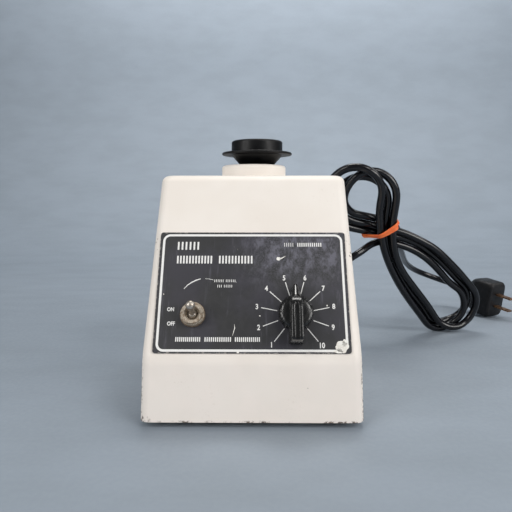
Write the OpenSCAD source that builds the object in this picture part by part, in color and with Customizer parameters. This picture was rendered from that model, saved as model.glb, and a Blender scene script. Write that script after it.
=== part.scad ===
// Vortex mixer for laboratory tubes: a cast housing with a sloping control panel,
// a motor on springs that swings a rubber cup round a small orbit when the cup is
// pressed, and a mains lead tied up in a hank behind it.

/* [Housing] */
// Width at the crease
body_w = 122; // [118:1:130]
// Depth at the crease
body_d = 155; // [153:1:165]
// How far the skirt's lower edge stands out at each side and in front
skirt_flare = 1.4; // [0.5:0.1:2]
// Height of the skirt's lower edge above the table
skirt_z = 4; // [4:0.5:5]
// Height of the crease between the skirt and the sloping panel
knee_z = 39; // [38:0.5:41]
// How far above and below the crease its rounding runs
knee_round = 4; // [1:0.5:5]
// Height of the flat top
top_z = 141.3; // [139:0.1:142]
// Lean of the control panel from the vertical, in degrees
panel_lean = 27; // [26:0.5:28]
// Lean of the rear wall from the vertical, in degrees
rear_lean = 8; // [6:1:12]
// Draft of the side walls from the vertical, in degrees
side_draft = 2; // [1:0.5:3]
// Thickness of the casting
wall = 4; // [3.5:0.1:4]
// Radius of the upright edges
edge_r = 5.5; // [5:0.5:8]
// Radius of the edge round the top
top_r = 4; // [3:0.5:5]

/* [Collar and cup] */
// Distance of the motor axis behind the front of the skirt
axis_back = 92.5; // [91:0.5:94]
// Outside diameter of the collar
collar_d = 44.5; // [44:0.5:48]
// Bore of the collar
collar_bore_d = 34; // [34:0.5:35]
// Height of the collar's rim above the table
collar_z = 149.7; // [149:0.1:150]
// Radius of the circle that the cup is swung round
orbit_r = 2.2; // [1.8:0.1:2.3]
// Diameter of the cup's thin brim
brim_d = 48.8; // [46:0.1:50]
// Diameter of the cup's upper disc
cup_d = 35.6; // [34:0.1:37]
// Height of the cup's rim above the table
cup_z = 166.7; // [164:0.1:168]
// Travel of the motor and cup when the cup is pressed
press = 2; // [1:0.5:2]

/* [Control panel] */
// Width of the black label plate
label_w = 109.4; // [100:0.2:110]
// Height of the label plate, up the slope
label_h = 71.9; // [70:0.1:76]
// Gap between the crease and the label plate, up the slope
label_gap = 3.6; // [3:0.1:5]
// Thickness of the label plate
label_t = 0.8; // [0.5:0.1:1]
// Place of the speed knob across the panel
knob_x = 24.4; // [20:0.2:28]
// Place of the speed knob up the slope
knob_s = 25.6; // [24:0.2:28]
// Diameter of the knob's fluted base
knob_d = 19.5; // [19:0.5:22]
// Width of the knob's grip
grip_w = 8.2; // [7:0.2:9]
// Height of the grip above the panel
knob_h = 15; // [14:0.5:17]
// Place of the toggle switch across the panel
toggle_x = -33.4; // [-36:0.2:-30]
// Place of the toggle switch up the slope
toggle_s = 25.2; // [24:0.2:30]
// Lean of the toggle's bat either side of square, in degrees
toggle_tilt = 12; // [10:1:12]

/* [Motor] */
// Outside diameter of the motor
motor_d = 72; // [70:1:74]
// Diameter of the rotor
rotor_d = 40; // [38:1:40]
// Diameter of the motor shaft
shaft_d = 8; // [8:0.5:8]
// Height of the underside of the motor bracket
bracket_z = 26; // [26:0.5:26]

/* [Mains lead] */
// Diameter of the mains lead
cord_d = 6.5; // [6:0.1:7]
// Thickness of the tied hank
hank_t = 21; // [20:0.5:21]

/* [Hidden] */
$fn = 48;

paint = "#EDE9DF";
label_black = "#3E3D42";
rubber_black = "#1A1A1C";
plastic_black = "#161617";
nickel = "#C9C6C0";
steel = "#9DA1A6";
zinc = "#B9BCBE";
brass = "#B58A4C";
copper = "#B5683A";
board_green = "#2F5A3A";
nylon = "#E4E0D2";

// Fit of a part that turns or slides in another, on the radius
run = 0.05;
// Gap between parts that stay still against each other
gap = 0.1;
// Thickness of the paint under the label plate
paint_t = 0.03;
// Thickness of the slabs that a hulled form is stretched over
slab = 0.02;

// Front of the skirt, placed so that the origin is under the middle of the machine
knob_tail = 17;
knob_tip = 16.4;
grip_nose = 1.2;
knob_reach = (knob_tail - grip_nose - knob_s) * sin(panel_lean) + knob_h * cos(panel_lean);
front_y = (knob_reach - body_d) / 2;
rear_y = front_y + body_d;
mid_y = front_y + body_d / 2;
axis_y = front_y + axis_back;

// Half width, front and rear of the housing at a height above the crease
function half_w(z) = body_w / 2 - (z - knee_z) * tan(side_draft);
function panel_y(z) = front_y + (z - knee_z) * tan(panel_lean);
function back_y(z) = rear_y - (z - knee_z) * tan(rear_lean);

// How far the rounded front stands behind the sloping panel's plane, about the crease
skirt_slope = skirt_flare / (knee_z - skirt_z);
function skirt_y(z) = front_y - (knee_z - z) * skirt_slope;
function knee_y(z) = skirt_y(z)
    + (tan(panel_lean) - skirt_slope) * (z - knee_z + knee_round) ^ 2 / (4 * knee_round);

module rounded_rect(w, d, r) {
    square([w - 2 * r, d], center = true);
    square([w, d - 2 * r], center = true);
    for (x = [-1, 1], y = [-1, 1])
        translate([x * (w / 2 - r), y * (d / 2 - r)]) circle(r, $fn = 32);
}

// A thin level slice of the housing's form, drawn in on every side by inset
module form_slice(z, inset, r) {
    y0 = panel_y(z) + inset / cos(panel_lean);
    y1 = back_y(z) - inset / cos(rear_lean);
    w = 2 * (half_w(z) - inset / cos(side_draft));
    translate([0, (y0 + y1) / 2, z - slab])
        linear_extrude(slab) rounded_rect(w, y1 - y0, r);
}

module ring(r_in, r_out, h) {
    difference() {
        cylinder(r = r_out, h = h);
        translate([0, 0, -1]) cylinder(r = r_in, h = h + 2);
    }
}

// Moves its children onto the control panel: +Z out of the panel, +Y up the slope
module on_panel(x, s) {
    translate([x, front_y + s * sin(panel_lean), knee_z + s * cos(panel_lean)])
        rotate([90 - panel_lean, 0, 0]) children();
}

module on_axis(z) translate([0, axis_y, z]) children();

// ---------------------------------------------------------------- housing

boss_x = 52;
boss_in = 9;
boss_r = 5.5;
plate_t = 2;
floor_z = skirt_z + plate_t;
relief_x = 30;
relief_z = 22;
relief_r = 6;
toggle_hole_r = 6;
control_hole_r = 4.9;

module at_corners(x, y_in) {
    for (sx = [-1, 1], y = [front_y + y_in, rear_y - y_in]) translate([sx * x, y, 0]) children();
}

module collar_form() {
    lip_r = 2;
    h = collar_z - top_z + wall;
    on_axis(top_z - wall) rotate_extrude() {
        square([collar_d / 2 - lip_r, h]);
        square([collar_d / 2, h - lip_r]);
        translate([collar_d / 2 - lip_r, h - lip_r]) circle(lip_r, $fn = 32);
    }
}

// A thin level slice between a front, a rear and a width
module body_slice(z, y0, y1, w) {
    translate([0, (y0 + y1) / 2, z]) linear_extrude(slab) rounded_rect(w, y1 - y0, edge_r);
}

// The outside of the casting: skirt, rounded crease, sloping panel and rounded top
module body_form() hull() {
    body_slice(skirt_z, front_y - skirt_flare, rear_y, body_w + 2 * skirt_flare);
    for (z = [knee_z - knee_round : knee_round / 4 : knee_z + knee_round])
        body_slice(z, knee_y(z), back_y(max(z, knee_z)),
            2 * half_w(max(z, knee_z)) + 2 * skirt_slope * max(knee_z - z, 0));
    for (a = [0:15:90])
        form_slice(top_z - top_r + top_r * sin(a), top_r * (1 - cos(a)), edge_r);
}

module housing_shell() color(paint) difference() {
    union() {
        difference() {
            body_form();
            translate([0, mid_y, skirt_z - 1])
                linear_extrude(knee_z - skirt_z + 1)
                    rounded_rect(body_w - 2 * wall, body_d - 2 * wall, edge_r - wall + 1);
            hull() {
                form_slice(knee_z, wall, 2.5);
                form_slice(top_z - wall, wall, 2.5);
            }
        }
        at_corners(boss_x, boss_in) translate([0, 0, floor_z])
            cylinder(r = boss_r, h = knee_z - floor_z - 3);
        collar_form();
    }
    on_axis(top_z - 2 * wall) cylinder(d = collar_bore_d, h = collar_z);
    at_corners(boss_x, boss_in) translate([0, 0, floor_z - 1]) cylinder(r = 1.7, h = 16);
    on_panel(toggle_x, toggle_s) translate([0, 0, -2 * wall])
        cylinder(r = toggle_hole_r, h = 3 * wall);
    on_panel(knob_x, knob_s) translate([0, 0, -2 * wall])
        cylinder(r = control_hole_r, h = 3 * wall);
    translate([relief_x, rear_y + 1, relief_z]) rotate([90, 0, 0])
        cylinder(r = relief_r, h = wall + 2);
}

foot_x = 42;
foot_in = 20;

module bottom_plate() color("#2A2B2D") difference() {
    translate([0, mid_y, skirt_z])
        linear_extrude(plate_t)
            rounded_rect(body_w - 2 * wall - 0.6, body_d - 2 * wall - 0.6, 2);
    at_corners(boss_x, boss_in) translate([0, 0, skirt_z - 1]) cylinder(r = 2.2, h = plate_t + 2);
    at_corners(foot_x, foot_in) translate([0, 0, skirt_z - 1]) cylinder(r = 3, h = plate_t + 2);
    for (x = [-3:3]) translate([x * 9, axis_y - 12, skirt_z - 1])
        linear_extrude(plate_t + 2) vent_slot();
}

module vent_slot() {
    square([3, 24]);
    for (y = [0, 24]) translate([1.5, y]) circle(1.5, $fn = 24);
}

module feet() color(rubber_black) at_corners(foot_x, foot_in) rotate_extrude() {
    polygon([[0, 0], [9, 0], [10, 1.2], [10, skirt_z], [2.9, skirt_z], [2.9, floor_z + gap / 2],
        [3.9, floor_z + gap / 2], [3, floor_z + 1.6], [0, floor_z + 1.6]]);
}

module cross_recess(r, depth) {
    for (a = [0, 90]) rotate([0, 0, a]) cube([2 * r, r / 3, 2 * depth], center = true);
}

module bottom_screws() color(steel) at_corners(boss_x, boss_in) translate([0, 0, skirt_z]) {
    cylinder(r = 1.65, h = 13);
    difference() {
        translate([0, 0, -1.8]) cylinder(r1 = 2.9, r2 = 3.4, h = 1.8);
        translate([0, 0, -1.8]) cross_recess(2, 0.9);
    }
}

module label_plate() color(label_black) on_panel(0, label_gap + label_h / 2) difference() {
    translate([0, 0, paint_t]) linear_extrude(label_t - paint_t)
        rounded_rect(label_w, label_h, 1.6);
    translate([toggle_x, toggle_s - label_gap - label_h / 2, -1]) cylinder(r = 6.1, h = 3);
    translate([knob_x, knob_s - label_gap - label_h / 2, -1]) cylinder(r = 5, h = 3);
}

module dust_seal() color(rubber_black) on_axis(143)
    ring(14.2, collar_bore_d / 2 - 0.02, 3);

// ---------------------------------------------------------------- toggle switch

bushing_top = 5.4;
bat_pivot = 1;
pivot_pin_r = 0.8;
pivot_pin_l = 8;

module toggle_body() color("#5B2A20") on_panel(toggle_x, toggle_s) difference() {
    translate([-7.5, -10, -28]) cube([15, 20, 22.2]);
    translate([0, 0, -13]) cylinder(r = 4, h = 8);
}

module toggle_bushing() color(nickel) on_panel(toggle_x, toggle_s) difference() {
    union() {
        translate([-8, -10.5, -5.7]) cube([16, 21, 1.6]);
        translate([0, 0, -5]) cylinder(r = toggle_hole_r - gap, h = 5 + bushing_top);
    }
    translate([0, 0, -7]) cylinder(r = 3.05, h = 20);
    translate([0, 0, bat_pivot + 1.5]) cylinder(r1 = 3.05, r2 = 4.3, h = bushing_top - bat_pivot - 1.4);
    translate([0, 0, bat_pivot]) rotate([0, 90, 0])
        cylinder(r = pivot_pin_r + run, h = pivot_pin_l + 2 * gap, center = true);
}

module toggle_washer() color("#8E8378") on_panel(toggle_x, toggle_s)
    translate([0, 0, label_t]) ring(6.1, 7.15, 0.6);

module toggle_nut() color(nickel) on_panel(toggle_x, toggle_s)
    translate([0, 0, label_t + 0.6]) difference() {
        rotate_extrude() polygon([[5.95, 0], [6.7, 0], [6.7, 2.2], [6.2, 2.8], [5.95, 2.8]]);
        for (a = [0, 180]) rotate([0, 0, a]) translate([5, -0.6, 1.8]) cube([3, 1.2, 2]);
    }

module toggle_terminals() color(brass) on_panel(toggle_x, toggle_s)
    for (y = [-6, 0, 6]) translate([0, y, -32]) difference() {
        cube([6.3, 0.8, 8], center = true);
        translate([0, 0, -1.8]) rotate([90, 0, 0]) cylinder(r = 0.8, h = 3, center = true);
    }

module toggle_lever() color(nickel) on_panel(toggle_x, toggle_s)
    translate([0, 0, bat_pivot]) rotate([-toggle_tilt, 0, 0]) {
        sphere(2.95);
        rotate([0, 90, 0]) cylinder(r = pivot_pin_r, h = pivot_pin_l, center = true);
        translate([0, 0, -9]) cylinder(r = 1, h = 9);
        cylinder(r1 = 1.5, r2 = 1.9, h = 11.2);
        translate([0, 0, 11.6]) sphere(2.6);
    }

// ---------------------------------------------------------------- speed control

control_r = 8.5;
spindle_r = 3;
knob_base_z = label_t + 0.6;

module speed_control_body() color("#3A3F45") on_panel(knob_x, knob_s) difference() {
    union() {
        translate([0, 0, -17]) cylinder(r = control_r, h = 17 - wall - gap);
        for (x = [-5, 0, 5]) translate([x, -10.5, -8]) cube([1.6, 9, 0.8], center = true);
    }
    translate([0, 0, -16]) cylinder(r = spindle_r + run, h = 20);
}

module speed_control_bushing() color(nickel) on_panel(knob_x, knob_s)
    translate([0, 0, -wall]) difference() {
        ring(spindle_r + run, control_hole_r - gap, wall + 3.8);
        translate([0, 0, wall + 3.3]) ring(control_hole_r - 0.5, control_hole_r + 1, 1);
    }

module speed_control_nut() color(steel) on_panel(knob_x, knob_s)
    translate([0, 0, label_t]) {
        ring(control_hole_r + 0.02, 7, 0.6);
        translate([0, 0, 0.6]) difference() {
            cylinder(r = 6.6, h = 2, $fn = 6);
            translate([0, 0, -1]) cylinder(r = control_hole_r + 0.02, h = 4);
        }
    }

module speed_control_shaft() color(steel) on_panel(knob_x, knob_s) difference() {
    translate([0, 0, -15.5]) cylinder(r = spindle_r, h = 15.5 + 11.8);
    translate([-4, -spindle_r - 1.5, 4.5]) cube([8, 2.2, 10]);
}

module grip_outline(w, tail, tip) {
    translate([-w / 2, -tail]) square([w, tail + tip - 6.4]);
    polygon([[-w / 2, tip - 6.4], [-2.1, tip - 5.4], [-0.5, tip], [0.5, tip],
        [2.1, tip - 5.4], [w / 2, tip - 6.4]]);
}

// The grip seen from its side, with X up from the panel and Y towards the pointer
module grip_side() polygon([[knob_base_z + 3, -knob_tail + 0.2], [knob_h - 0.8, -knob_tail + 0.4],
    [knob_h, -knob_tail + grip_nose], [knob_h, 5.5], [knob_h - 0.6, 7.4], [knob_h - 2.2, 8.8],
    [knob_h - 5, 9.5], [knob_base_z + 3, 9.7]]);

module speed_knob() color(plastic_black) on_panel(knob_x, knob_s) difference() {
    union() {
        translate([0, 0, knob_base_z]) cylinder(d = knob_d, h = 6);
        translate([0, 0, knob_base_z + 6]) cylinder(d1 = knob_d, d2 = knob_d - 5, h = 1.6);
        translate([0, 0, knob_base_z + 0.4])
            linear_extrude(4) grip_outline(grip_w, knob_tail, knob_tip);
        translate([grip_w / 2 - 0.2, 0, 0]) rotate([0, -90, 0])
            linear_extrude(grip_w - 0.4) grip_side();
    }
    cylinder(r = 7.6, h = 4.4);
    cylinder(r = spindle_r + 0.02, h = 12.2);
    for (a = [0:15:345]) rotate([0, 0, a]) translate([knob_d / 2 + 0.35, 0, -1])
        cylinder(r = 0.9, h = 8.2, $fn = 16);
    translate([0, -9, knob_h]) cube([2.2, 30, 0.9], center = true);
    translate([0, -knob_tail - 1, 8]) rotate([-90, 0, 0]) cylinder(r = 1.5 + 0.02, h = knob_tail);
}

module knob_set_screw() color(steel) on_panel(knob_x, knob_s)
    translate([0, -spindle_r + 0.65, 8]) rotate([90, 0, 0]) difference() {
        cylinder(r = 1.5, h = 6);
        translate([-0.3, -2, 5.2]) cube([0.6, 4, 2]);
    }

// ---------------------------------------------------------------- sprung mounting

post_x = 37;
post_y = 31;
post_r = 3;
bracket_t = 3;
bracket_top = bracket_z + bracket_t;
bush_flange = 1.2;

module at_posts() {
    for (x = [-post_x, post_x], y = [-post_y, post_y]) on_axis(0) translate([x, y, 0]) children();
}

module guide_posts() color(steel) at_posts() translate([0, 0, floor_z]) {
    cylinder(r = 6, h = 2);
    cylinder(r = post_r, h = bracket_top + 6 - floor_z);
}

module post_nuts() color(steel) at_posts() translate([0, 0, bracket_top + 0.2]) difference() {
    cylinder(r = 5.8, h = 3.4, $fn = 6);
    translate([0, 0, -1]) cylinder(r = post_r + 0.02, h = 6);
}

module post_bushes() color(nylon) at_posts() translate([0, 0, bracket_z - bush_flange])
    difference() {
        union() {
            cylinder(r = 7, h = bush_flange);
            cylinder(r = 5, h = bush_flange + bracket_t);
        }
        translate([0, 0, -1]) cylinder(r = post_r + run, h = 8);
    }

// One open coil: a tube swept along a helix, ring by ring
spring_r = 5.2;
spring_wire = 0.7;
spring_z = floor_z + 2 + spring_wire + gap;
spring_h = bracket_z - bush_flange - spring_wire - gap - spring_z;
spring_turns = 4;
spring_steps = 48;
spring_path = [for (i = [0:spring_steps]) let (a = 360 * spring_turns * i / spring_steps)
    [spring_r * cos(a), spring_r * sin(a), spring_z + spring_h * i / spring_steps]];

module press_springs() color(steel) at_posts() tube(spring_path, spring_wire, 6);

switch_back = 48;
switch_z = 12;

module switch_place() on_axis(0) translate([0, switch_back, 0]) children();

module touch_switch() color("#26272B") switch_place() difference() {
    translate([-10, -3.2, switch_z]) cube([20, 6.4, 10]);
    translate([0, 0, switch_z + 3.4]) cylinder(r = 1.55, h = 10);
    for (x = [-6, 6]) translate([x, -5, switch_z + 3]) rotate([-90, 0, 0]) cylinder(r = 1.3, h = 10);
}

module switch_bracket() color(zinc) switch_place() difference() {
    union() {
        translate([-12, 3.25, floor_z]) cube([24, 1.5, 16]);
        translate([-12, -6, floor_z]) cube([24, 10.7, 1.5]);
    }
    for (x = [-6, 6]) translate([x, 0, switch_z + 3]) rotate([-90, 0, 0]) cylinder(r = 1.3, h = 9);
}

module switch_plunger() color("#A03A2A") switch_place()
    translate([0, 0, switch_z + 6]) cylinder(r = 1.5, h = bracket_z - run - switch_z - 6);

// ---------------------------------------------------------------- control board

board_z = 12;
board_t = 1.6;
board_top = board_z + board_t;
board_y = front_y + 28;
standoff_x = 35;
standoff_y = 13;

module at_standoffs() {
    for (x = [-standoff_x, standoff_x], y = [-standoff_y, standoff_y])
        translate([x, board_y + y, 0]) children();
}

module control_board() color(board_green) difference() {
    translate([-40, board_y - 17, board_z]) cube([80, 34, board_t]);
    at_standoffs() translate([0, 0, board_z - 1]) cylinder(r = 1.6, h = 4);
}

module board_standoffs() color(brass) at_standoffs() translate([0, 0, floor_z])
    difference() {
        cylinder(r = 3.2, h = board_z - floor_z, $fn = 6);
        translate([0, 0, 2]) cylinder(r = 1.3, h = 8);
    }

// A small pan-head screw standing on its head's underside
module small_screw(reach) {
    translate([0, 0, -reach]) cylinder(r = 1.25, h = reach);
    difference() {
        cylinder(r = 2.6, h = 1.6);
        translate([0, 0, 1.6]) cross_recess(1.6, 0.7);
    }
}

module small_screws() color(steel) {
    at_standoffs() translate([0, 0, board_top]) small_screw(5);
    switch_place() for (x = [-6, 6])
        translate([x, -3.25, switch_z + 3]) rotate([90, 0, 0]) small_screw(9.5);
}

module run_capacitor() color("#C8A63C") translate([-20, board_y - 3, board_top]) {
    translate([-11, -4.5, 0]) cube([22, 9, 15]);
}

module triac_heatsink() color("#6F7478") translate([3, board_y - 10, board_top]) {
    translate([-9, 2, 0]) cube([18, 2, 17]);
    for (x = [-8:4:8]) translate([x - 0.6, -4, 0]) cube([1.2, 6.5, 17]);
}

module choke_coil() color(copper) translate([2, board_y + 7, board_top + 4]) rotate_extrude()
    translate([6, 0]) circle(4, $fn = 24);

module terminal_block() color("#2D6C4C") translate([20, board_y + 6, board_top]) difference() {
    cube([10, 8, 9]);
    for (x = [2.5, 7.5]) translate([x, 4, 4]) cylinder(r = 1.6, h = 6);
}

// The insulated leads inside the housing, each along its own bends
mains_wire = [[30, 73.9, 22], [30, 71.4, 20.8], [29.5, 66, 17], [27, 54, 13.2], [25, 36, 11.5],
    [24, 10, 11.5], [24, -12, 12.5], [25, -24, 16.5], [25, -30, 17.5]];
toggle_wire = [[22, -34, 24], [14, -32, 32], [-6, -27, 38], [-24, -24, 43], [-33, -27, 45.5]];
control_wire = [[24.4, -60, 44], [24.2, -57, 36], [23.5, -54, 26], [23.3, -53.3, 18], [23, -53, 14]];
motor_wire = [[-22, -36, 14], [-21.6, -35, 19], [-20, -31, 25], [-14, -26, 32], [-6, -19, 38.4], [-3, -11, 38.4]];

module internal_leads() color("#20252B") {
    tube(smooth(mains_wire, 2), 2.2, 8);
    for (route = [toggle_wire, control_wire, motor_wire]) tube(smooth(route, 2), 1.2, 8);
}

// ---------------------------------------------------------------- motor

bell_h = 17;
bell_t = 3;
core_h = 38;
core_z = bracket_top + bell_h;
bell_top = core_z + core_h + bell_h;
bearing_r = 11;
bearing_h = 7;
bolt_r = 30.5;
motor_r = motor_d / 2;
shaft_r = shaft_d / 2;
teeth = 12;
slot_angle = 360 / teeth;

module at_bolts() {
    for (a = [45:90:315]) rotate([0, 0, a]) translate([bolt_r, 0, 0]) children();
}

module motor_bracket() color(zinc) difference() {
    on_axis(bracket_z) translate([0, 7, 0])
        linear_extrude(bracket_t) rounded_rect(90, 90, 6);
    at_posts() cylinder(r = 5.02, h = 60);
    on_axis(bracket_z - 1) cylinder(r = 12, h = 9);
    on_axis(bracket_z - 1) at_bolts() cylinder(r = 2.1, h = 9);
}

// One cup-shaped end bell, open upward, with a pocket for the bearing
module bell() difference() {
    rotate_extrude() polygon([[5.5, 0], [motor_r, 0], [motor_r, bell_h], [motor_r - bell_t, bell_h],
        [motor_r - bell_t, bell_t], [14, bell_t], [14, bearing_h + 2], [bearing_r, bearing_h + 2],
        [bearing_r, 2], [5.5, 2]]);
    at_bolts() translate([0, 0, -1]) cylinder(r = 2.1, h = bell_t + 2);
    for (a = [0:90:270]) rotate([0, 0, a]) translate([motor_r - 6, -11, 6]) cube([12, 22, 7]);
}

module lower_bell() color(zinc) on_axis(bracket_top) bell();

module upper_bell() color(zinc) on_axis(bell_top) rotate([180, 0, 0]) bell();

module bearing(r_in, r_out, h) difference() {
    ring(r_in, r_out, h);
    for (z = [-0.5, h - 0.5]) translate([0, 0, z]) ring(r_in + 1.6, r_out - 1.8, 1);
}

module lower_bearing() color(steel) on_axis(bracket_top + 2)
    bearing(shaft_r + run, bearing_r - 0.02, bearing_h);

module upper_bearing() color(steel) on_axis(bell_top - 2 - bearing_h)
    bearing(shaft_r + run, bearing_r - 0.02, bearing_h);

module stator_core() color("#7F848A") on_axis(core_z) difference() {
    union() {
        ring(28, motor_r, core_h);
        for (i = [0:teeth - 1]) rotate([0, 0, i * slot_angle]) {
            translate([23, -2.5, 0]) cube([6, 5, core_h]);
            translate([rotor_d / 2 + 0.5, -4, 0]) cube([2.6, 8, core_h]);
        }
    }
    translate([0, 0, -1]) cylinder(r = rotor_d / 2 + 0.5, h = core_h + 2);
    at_bolts() translate([0, 0, -1]) cylinder(r = 2.1, h = core_h + 2);
}

module stator_windings() color(copper) on_axis(core_z) {
    for (z = [-6.2, core_h + 0.2]) translate([0, 0, z]) ring(23.5, 28, 6);
    for (i = [0:teeth - 1]) rotate([0, 0, (i + 0.5) * slot_angle])
        translate([25.7, 0, -4]) cylinder(r = 1.9, h = core_h + 8, $fn = 24);
}

module motor_bolts() color(steel) on_axis(bell_top) at_bolts() {
    translate([0, 0, -bell_top + bracket_z - 4]) cylinder(r = 2, h = bell_top - bracket_z + 4);
    difference() {
        cylinder(r = 3.5, h = 2.4);
        translate([0, 0, 2.4]) cross_recess(2.1, 1);
    }
}

module motor_nuts() color(steel) on_axis(bracket_z - 3.2) at_bolts() difference() {
    cylinder(r = 4, h = 3.2, $fn = 6);
    translate([0, 0, -1]) cylinder(r = 2.02, h = 6);
}

module motor_shaft() color(steel) on_axis(bracket_top + 0.8) difference() {
    cylinder(r = shaft_r, h = 100);
    translate([-5, -shaft_r - 1.4, 89]) cube([10, 2, 12]);
}

module rotor_core() color("#8A8F95") on_axis(core_z + 1)
    ring(shaft_r + 0.01, rotor_d / 2, core_h - 2);

module rotor_end_rings() color(zinc) for (z = [core_z - 3, core_z + core_h - 1])
    on_axis(z) ring(12, rotor_d / 2 - 1, 4);

fan_z = bell_top + 4;

module cooling_fan() color("#30343A") on_axis(fan_z) difference() {
    union() {
        cylinder(r = 8, h = 9);
        cylinder(r = 31, h = 1.4);
        for (i = [0:8]) rotate([0, 0, i * 40]) translate([7, -0.7, 0]) cube([23, 1.4, 9]);
    }
    translate([0, 0, -1]) cylinder(r = shaft_r + 0.01, h = 12);
}

// ---------------------------------------------------------------- eccentric and cup

hub_z = 116;
hub_h = 20;
hub_top = hub_z + hub_h;
pin_r = 4.5;
pin_top = 155.8;
clip_z = 154.4;

module on_pin(z) translate([orbit_r, axis_y, z]) children();

module eccentric_hub() color(zinc) difference() {
    on_axis(hub_z) union() {
        cylinder(r = 11, h = hub_h);
        intersection() {
            translate([0, 0, 3]) cylinder(r = 25, h = 7);
            translate([-30, -30, 0]) cube([26, 60, 20]);
        }
        translate([-9, -9, 3]) cube([8, 18, 7]);
    }
    on_axis(hub_z - 1) cylinder(r = shaft_r + 0.01, h = 15.5);
    on_pin(hub_top - 5) cylinder(r = 2.52, h = 6);
    on_axis(hub_z + 12.4) rotate([90, 0, 0]) cylinder(r = 2.02, h = 14);
}

module hub_set_screw() color(steel) on_axis(hub_z + 12.4)
    translate([0, -shaft_r - 0.2, 0]) rotate([90, 0, 0]) difference() {
        cylinder(r = 2, h = 6.4);
        translate([0, 0, 5]) cylinder(r = 1.1, h = 3, $fn = 6);
    }

module crank_pin() color(steel) on_pin(0) difference() {
    union() {
        translate([0, 0, hub_top - 4.8]) cylinder(r = 2.5, h = 6);
        translate([0, 0, hub_top]) cylinder(r = 6.5, h = 1.6);
        translate([0, 0, hub_top]) cylinder(r = pin_r, h = pin_top - hub_top);
    }
    translate([0, 0, clip_z]) ring(pin_r - 0.6, pin_r + 2, 0.8);
}

module pin_clip() color(steel) on_pin(clip_z + 0.05) ring(pin_r - 0.55, pin_r + 2.4, 0.7);

bearing_out = 8.4;
insert_r = 10;
insert_z = 139.2;
insert_top = 157.4;

module cup_bearing() color(steel) on_pin(139.4)
    bearing(pin_r + run, bearing_out - 0.02, clip_z - 139.6);

module cup_insert() color("#B4B8BC") on_pin(insert_z) difference() {
    cylinder(r = insert_r, h = insert_top - insert_z);
    translate([0, 0, -1]) cylinder(r = bearing_out, h = insert_top - insert_z - 0.4);
}

cup_neck_r = 11.5;
cone_z0 = 150;
brim_z0 = 156.9;
brim_t = 1.8;
dish_r = 15;
dish_z = cup_z - 6.4;

module mixing_cup() color(rubber_black) on_pin(0) difference() {
    rotate_extrude() {
        polygon([[0, 145], [cup_neck_r - 0.6, 145], [cup_neck_r, 145.6], [cup_neck_r, cone_z0],
            [cup_neck_r + 5, cone_z0 + 5.4], [cup_neck_r + 6, brim_z0], [0, brim_z0]]);
        translate([0, brim_z0]) square([brim_d / 2 - brim_t / 2, brim_t]);
        translate([brim_d / 2 - brim_t / 2, brim_z0 + brim_t / 2]) circle(brim_t / 2, $fn = 24);
        translate([0, brim_z0]) square([cup_d / 2, cup_z - brim_z0 - 1.6]);
        translate([0, brim_z0]) square([cup_d / 2 - 1.6, cup_z - brim_z0]);
        translate([cup_d / 2 - 1.6, cup_z - 1.6]) circle(1.6, $fn = 24);
    }
    translate([0, 0, 140]) cylinder(r = insert_r + 0.02, h = insert_top - 140);
    rotate_extrude() polygon([[0, dish_z], [8, dish_z + 0.3], [12, dish_z + 1.4],
        [14.2, dish_z + 3.6], [dish_r, cup_z + 0.1], [dish_r, cup_z + 2], [0, cup_z + 2]]);
}

// ---------------------------------------------------------------- mains lead

// Cuts of a smooth curve through points, as a list of places along it
function spline(p, a, b, t) = 0.5 * (2 * p[a] + (p[a + 1] - p[b]) * t
    + (2 * p[b] - 5 * p[a] + 4 * p[a + 1] - p[min(a + 2, len(p) - 1)]) * t * t
    + (3 * p[a] - p[b] - 3 * p[a + 1] + p[min(a + 2, len(p) - 1)]) * t * t * t);
function smooth(p, steps) = concat([for (i = [0:len(p) - 2], k = [0:steps - 1])
    spline(p, i, max(i - 1, 0), k / steps)], [p[len(p) - 1]]);

function unit(v) = v / norm(v);
function heading(p, i) = unit(p[min(i + 1, len(p) - 1)] - p[max(i - 1, 0)]);

// A round tube of radius r along the places in p, with so many sides
module tube(p, r, sides) {
    rings = [for (i = [0:len(p) - 1]) let (t = heading(p, i), u = unit(cross(t, [0, 0, 1])),
        v = cross(u, t)) for (k = [0:sides - 1]) let (a = 360 * k / sides)
            p[i] + r * (cos(a) * u + sin(a) * v)];
    last = len(p) - 1;
    walls = [for (i = [0:last - 1], k = [0:sides - 1]) let (n = (k + 1) % sides)
        [i * sides + k, i * sides + n, (i + 1) * sides + n, (i + 1) * sides + k]];
    ends = [[for (k = [sides - 1:-1:0]) k], [for (k = [0:sides - 1]) last * sides + k]];
    polyhedron(rings, concat(walls, ends), convexity = 8);
}

relief_out = 22;

module strain_relief() color(rubber_black)
    translate([relief_x, rear_y - wall - 3, relief_z]) rotate([-90, 0, 0]) difference() {
        union() {
            cylinder(r = 8, h = 3 - gap);
            cylinder(r = relief_r - 0.05, h = wall + 3);
            translate([0, 0, wall + 3]) cylinder(r = 7.4, h = 1.6);
            translate([0, 0, wall + 3]) cylinder(r1 = 6.4, r2 = 4.6, h = relief_out);
        }
        for (z = [3:3:18]) translate([0, 0, wall + 3 + z]) ring(4.6, 9, 1.1);
        translate([0, 0, wall + 3 + relief_out - 6]) cylinder(r = cord_d / 2 + 0.45, h = 8);
    }

// The hank leans towards the machine: its own plane, X along it and Y up it
hank_at = [192.5, 142, 0];
hank_turn = 8.5;
hank_lean = 18;
tie_at = [-88.7, 105];

module on_hank() translate(hank_at) rotate([0, 0, hank_turn]) rotate([90 + hank_lean, 0, 0])
    children();

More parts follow.
